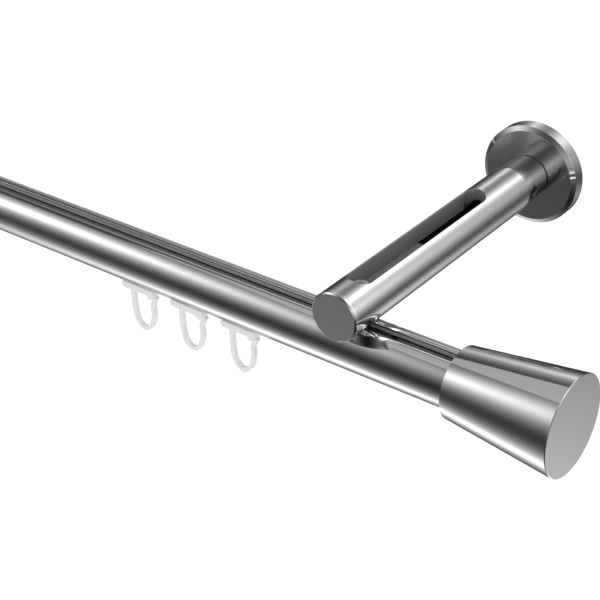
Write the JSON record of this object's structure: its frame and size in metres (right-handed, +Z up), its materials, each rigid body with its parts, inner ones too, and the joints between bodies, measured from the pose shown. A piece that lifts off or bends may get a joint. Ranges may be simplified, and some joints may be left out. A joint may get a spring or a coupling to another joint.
{
  "type": "curtain rod",
  "caption": "Round curtain rod with an inner glider track, slotted wall brackets, cone finials and hooked gliders.",
  "frame": {"origin": "centre of the right bracket's wall face", "axes": "+X along the rod to the right finial, +Y into the wall, +Z up"},
  "size_m": [1.0464, 0.1325, 0.0695],
  "materials": {
    "chrome_rod": "polished, chrome look",
    "chrome_arm": "polished chrome",
    "chrome_cap": "polished chrome",
    "chrome_hub": "polished chrome",
    "chrome_disc": "polished chrome",
    "chrome_finial": "polished, chrome look",
    "steel_screw": "zinc-plated steel",
    "zinc": "plain zinc casting",
    "stop_plastic": "moulded",
    "glider_plastic": "moulded, slightly translucent"
  },
  "bodies": {
    "wall_brackets": {"right_wall_plate": "zinc", "right_rosette": "chrome_disc", "right_hub": "chrome_hub", "right_hub_screw": "steel_screw", "right_arm_tube": "chrome_arm", "right_end_cap": "chrome_cap", "left_wall_plate": "zinc", "left_rosette": "chrome_disc", "left_hub": "chrome_hub", "left_hub_screw": "steel_screw", "left_arm_tube": "chrome_arm", "left_end_cap": "chrome_cap"},
    "clamps": {"right_clamp_block": "zinc", "right_clamp_screw": "steel_screw", "right_slot_nut": "zinc", "left_clamp_block": "zinc", "left_clamp_screw": "steel_screw", "left_slot_nut": "zinc"},
    "rod": {"rod": "chrome_rod", "right_track_stop": "stop_plastic", "right_track_stop_screw": "steel_screw", "left_track_stop": "stop_plastic", "left_track_stop_screw": "steel_screw"},
    "right_finial": {"right_finial": "chrome_finial", "right_finial_screw": "steel_screw"},
    "left_finial": {"left_finial": "chrome_finial", "left_finial_screw": "steel_screw"},
    "glider_1": {"glider_1": "glider_plastic"},
    "glider_2": {"glider_2": "glider_plastic"},
    "glider_3": {"glider_3": "glider_plastic"},
    "glider_4": {"glider_4": "glider_plastic"},
    "glider_5": {"glider_5": "glider_plastic"},
    "glider_6": {"glider_6": "glider_plastic"},
    "glider_7": {"glider_7": "glider_plastic"},
    "glider_8": {"glider_8": "glider_plastic"},
    "glider_9": {"glider_9": "glider_plastic"},
    "glider_10": {"glider_10": "glider_plastic"}
  },
  "joints": [
    {"name": "depth_slide", "type": "slide", "parent": "wall_brackets", "child": "clamps", "axis": [0, 1, 0], "range_m": [0, 0.04]},
    {"name": "rod_slide", "type": "slide", "parent": "clamps", "child": "rod", "axis": [1, 0, 0], "range_m": [-0.03, 0.03]},
    {"name": "right_finial_pull", "type": "slide", "parent": "rod", "child": "right_finial", "axis": [1, 0, 0], "range_m": [0, 0.018]},
    {"name": "left_finial_pull", "type": "slide", "parent": "rod", "child": "left_finial", "axis": [-1, 0, 0], "range_m": [0, 0.018]},
    {"name": "glider_1_slide", "type": "slide", "parent": "rod", "child": "glider_1", "axis": [1, 0, 0], "range_m": [-0.0078, 0.0729]},
    {"name": "glider_2_slide", "type": "slide", "parent": "rod", "child": "glider_2", "axis": [1, 0, 0], "range_m": [-0.0078, 0.0078]},
    {"name": "glider_3_slide", "type": "slide", "parent": "rod", "child": "glider_3", "axis": [1, 0, 0], "range_m": [-0.1833, 0.0078]},
    {"name": "glider_4_slide", "type": "slide", "parent": "rod", "child": "glider_4", "axis": [1, 0, 0], "range_m": [-0.0784, 0.1833]},
    {"name": "glider_5_slide", "type": "slide", "parent": "rod", "child": "glider_5", "axis": [1, 0, 0], "range_m": [-0.0784, 0.0784]},
    {"name": "glider_6_slide", "type": "slide", "parent": "rod", "child": "glider_6", "axis": [1, 0, 0], "range_m": [-0.0784, 0.0784]},
    {"name": "glider_7_slide", "type": "slide", "parent": "rod", "child": "glider_7", "axis": [1, 0, 0], "range_m": [-0.1833, 0.0784]},
    {"name": "glider_8_slide", "type": "slide", "parent": "rod", "child": "glider_8", "axis": [1, 0, 0], "range_m": [-0.0078, 0.1833]},
    {"name": "glider_9_slide", "type": "slide", "parent": "rod", "child": "glider_9", "axis": [1, 0, 0], "range_m": [-0.0078, 0.0078]},
    {"name": "glider_10_slide", "type": "slide", "parent": "rod", "child": "glider_10", "axis": [1, 0, 0], "range_m": [-0.0729, 0.0078]}
  ]
}
